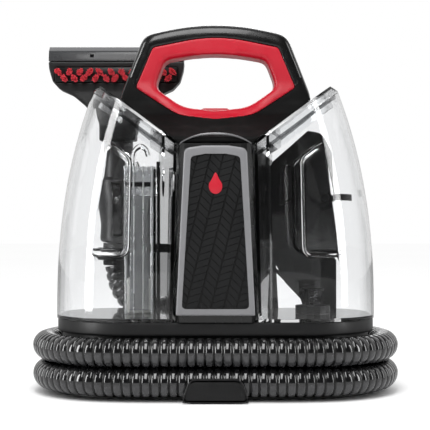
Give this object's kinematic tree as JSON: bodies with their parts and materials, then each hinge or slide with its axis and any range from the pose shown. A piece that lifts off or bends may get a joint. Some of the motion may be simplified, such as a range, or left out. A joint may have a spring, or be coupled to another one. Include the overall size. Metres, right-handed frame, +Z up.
{
  "type": "portable carpet spot extractor",
  "caption": "Carry-handle carpet spot cleaner: clear clean and dirty water tanks, hose wound round the base, spray wand with a brush head.",
  "frame": {"origin": "on the floor under the middle of the base, at the centre of the base tray's flat rest pad", "axes": "+Z up through the carry handle, +Y to the back where the wand stands, +X to the machine's right as seen from the front"},
  "size_m": [0.3558, 0.2285, 0.3568],
  "materials": {
    "black_gloss": "high gloss black moulding",
    "black_satin": "satin black moulding",
    "red": "red moulding",
    "silver": "silver lacquer on a moulded frame",
    "clear": "clear polished moulding",
    "smoke": "smoke-tinted moulding",
    "rubber": "soft black rubber",
    "hose": "translucent dark grey hose with black ribs",
    "steel": "plain steel",
    "copper": "copper windings and laminations",
    "white": "natural white moulding",
    "bristle": "red bristles"
  },
  "bodies": {
    "machine": {"base_tray": "black_satin", "deck": "black_satin", "column_rear_cover": "black_satin", "cord_bracket": "black_satin", "panel_insert": "black_satin", "power_switch": "black_satin", "pump_body": "black_satin", "water_duct": "black_satin", "hose_port": "black_satin", "wand_clip": "black_satin", "column_front_cover": "black_gloss", "handle_front_half": "black_gloss", "handle_rear_half": "black_gloss", "grip_ring": "red", "panel_bezel": "silver", "feed_tube": "clear", "delivery_tube": "clear", "foot_rear_right": "rubber", "base_screw_rear_right": "steel", "foot_rear_left": "rubber", "base_screw_rear_left": "steel", "foot_front_left": "rubber", "base_screw_front_left": "steel", "foot_front_right": "rubber", "base_screw_front_right": "steel", "cord_gland": "rubber", "motor_mount": "rubber", "vacuum_hose": "hose", "button_spring": "steel", "motor_can": "steel", "motor_stator": "copper", "switch_plate": "white", "fan_housing": "white", "air_duct": "white", "valve_seat": "white"},
    "recovery_tank": {"recovery_tank": "clear", "recovery_tank_lid": "clear", "recovery_lid_seal": "rubber", "separator_stack": "smoke"},
    "float": {"float": "white"},
    "solution_tank": {"solution_tank": "clear", "solution_tank_lid": "clear", "solution_lid_seal": "rubber", "valve_cap": "black_satin", "valve_cage": "black_satin", "valve_spring": "steel"},
    "valve_poppet": {"valve_poppet": "black_satin"},
    "power_button": {"power_button": "red"},
    "fan": {"motor_armature": "copper", "fan_impeller": "steel"},
    "pump_piston": {"pump_piston": "steel"},
    "cord_hook": {"cord_hook": "black_satin"},
    "wand": {"wand_grip": "black_satin", "hose_cuff": "rubber"},
    "trigger": {"spray_trigger": "black_gloss"},
    "head_latch": {"head_latch": "black_gloss"},
    "tool_head": {"tool_head": "black_satin", "suction_nozzle": "smoke", "bristle_brush": "bristle", "spray_tip": "black_satin"}
  },
  "joints": [
    {"name": "recovery_tank_lift", "type": "slide", "parent": "machine", "child": "recovery_tank", "axis": [-0.8, 0, 0.6], "range_m": [0, 0.15]},
    {"name": "float_rise", "type": "slide", "parent": "recovery_tank", "child": "float", "axis": [0, 0, 1], "range_m": [0, 0.07]},
    {"name": "solution_tank_lift", "type": "slide", "parent": "machine", "child": "solution_tank", "axis": [0.8, 0, 0.6], "range_m": [0, 0.15]},
    {"name": "valve_poppet_open", "type": "slide", "parent": "solution_tank", "child": "valve_poppet", "axis": [0, 0, 1], "range_m": [0, 0.003], "stiffness_N_per_m": 150, "springref_m": -0.003, "deforming": ["valve_spring"]},
    {"name": "power_button_press", "type": "slide", "parent": "machine", "child": "power_button", "axis": [0, 0, -1], "range_m": [0, 0.003], "stiffness_N_per_m": 600, "springref_m": -0.002, "deforming": ["button_spring"]},
    {"name": "fan_spin", "type": "hinge", "parent": "machine", "child": "fan", "pos_m": [0, 0.012, 0.12], "axis": [0, 0, 1], "continuous": true},
    {"name": "pump_stroke", "type": "slide", "parent": "machine", "child": "pump_piston", "axis": [1, 0, 0], "range_m": [0, 0.005], "stiffness_N_per_m": 300, "springref_m": -0.001},
    {"name": "cord_hook_turn", "type": "hinge", "parent": "machine", "child": "cord_hook", "pos_m": [0.114, 0.085, 0.19], "axis": [0, 1, 0], "range_deg": [0, 90]},
    {"name": "wand_pull", "type": "slide", "parent": "machine", "child": "wand", "axis": [0, 1, 0], "range_m": [0, 0.06]},
    {"name": "spray_trigger_press", "type": "hinge", "parent": "wand", "child": "trigger", "pos_m": [-0.1035, 0.079, 0.203], "axis": [1, 0, 0], "range_deg": [0, 6], "stiffness_Nm_per_rad": 0.6, "springref_deg": -2.86},
    {"name": "head_latch_press", "type": "slide", "parent": "wand", "child": "head_latch", "axis": [0, -1, 0], "range_m": [0, 0.002], "stiffness_N_per_m": 400, "springref_m": -0.002},
    {"name": "tool_head_release", "type": "slide", "parent": "wand", "child": "tool_head", "axis": [0, 0, 1], "range_m": [0, 0.04]}
  ]
}
